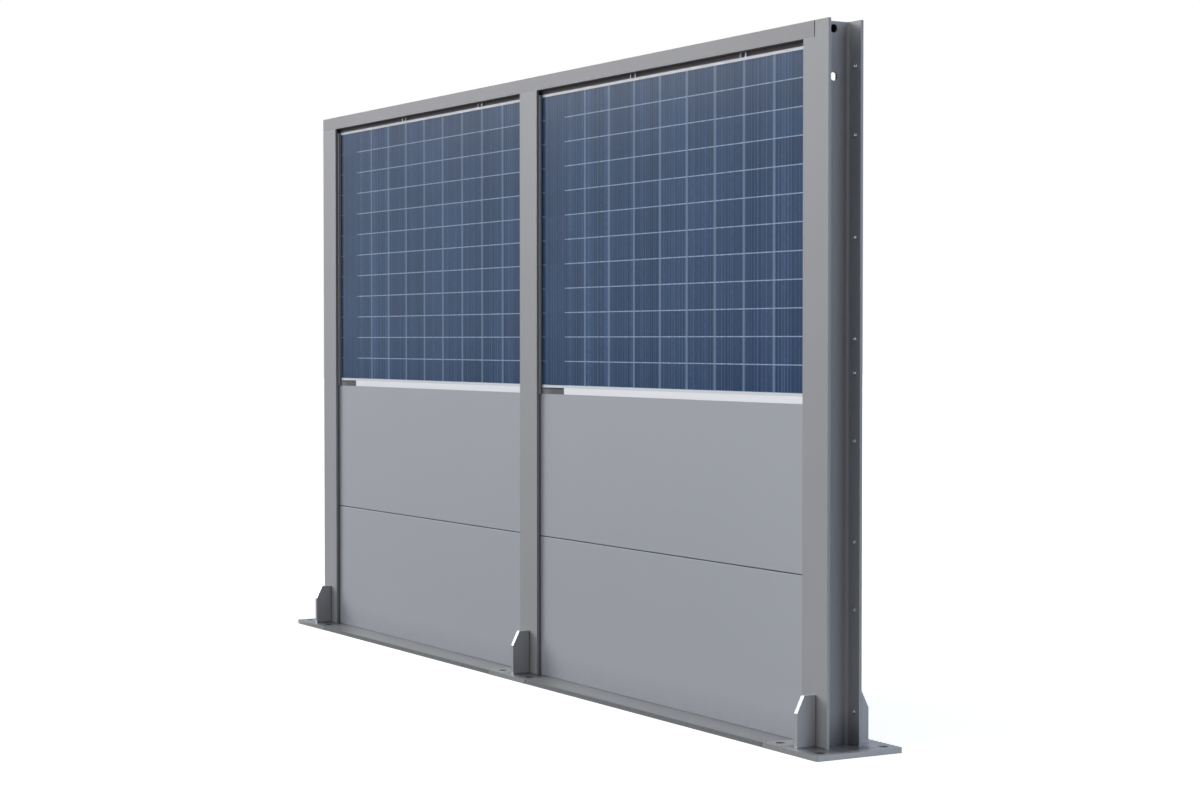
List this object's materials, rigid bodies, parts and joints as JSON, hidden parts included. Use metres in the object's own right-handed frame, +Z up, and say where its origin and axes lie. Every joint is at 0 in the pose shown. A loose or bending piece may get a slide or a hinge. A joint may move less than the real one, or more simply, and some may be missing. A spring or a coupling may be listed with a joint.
{
  "type": "photovoltaic noise barrier",
  "caption": "Run of highway noise barrier: H-section posts on anchored base plates, smooth opaque panels below, framed photovoltaic glass above and a tubular rail along the top.",
  "frame": {"origin": "centre of the footprint, on the ground under the middle post", "axes": "+X along the barrier to the right as seen from the front, +Y from the front to the rear, +Z up"},
  "size_m": [3.76, 0.3, 2.1],
  "materials": {
    "post_steel": "smooth light grey powder coat over galvanised steel",
    "plate_steel": "light grey powder coat on plate, edges slightly rounded by the coat",
    "rail_steel": "satin light grey powder coat",
    "cap_plastic": "fine matt moulded cap",
    "panel_sheet": "smooth satin cool grey coil-coated sheet",
    "seal_rubber": "matt black weather rubber",
    "frame_aluminium": "bright matt anodised extrusion",
    "box_plastic": "dark grey weatherproof housing",
    "cell_glass": "clear front glass over dark blue cells, smooth and glossy",
    "clamp_steel": "zinc plated bent plate"
  },
  "bodies": {
    "root": {"post_left": "post_steel", "post_middle": "post_steel", "post_right": "post_steel", "base_plate_left": "plate_steel", "base_plate_middle": "plate_steel", "base_plate_right": "plate_steel", "gussets_left": "plate_steel", "gussets_middle": "plate_steel", "gussets_right": "plate_steel", "top_rail": "rail_steel", "rail_end_cap": "cap_plastic", "lower_panel_left": "panel_sheet", "lower_panel_right": "panel_sheet", "upper_panel_left": "panel_sheet", "upper_panel_right": "panel_sheet", "joint_seals_left": "seal_rubber", "joint_seals_right": "seal_rubber", "ground_cover_left": "plate_steel", "ground_cover_right": "plate_steel", "ground_seal_left": "seal_rubber", "ground_seal_right": "seal_rubber", "pv_sill_left": "frame_aluminium", "pv_sill_right": "frame_aluminium", "cable_box_left": "box_plastic", "cable_box_right": "box_plastic", "pv_frame_left": "frame_aluminium", "pv_frame_right": "frame_aluminium", "pv_laminate_left": "cell_glass", "pv_laminate_right": "cell_glass", "junction_boxes_left": "box_plastic", "junction_boxes_right": "box_plastic", "head_seal_left": "seal_rubber", "head_seal_right": "seal_rubber", "head_clips_left": "frame_aluminium", "head_clips_right": "frame_aluminium", "front_seals_left": "seal_rubber", "front_seals_right": "seal_rubber", "rear_seals_left": "seal_rubber", "rear_seals_right": "seal_rubber", "pv_clamps_left": "clamp_steel", "pv_clamps_right": "clamp_steel"}
  },
  "joints": []
}
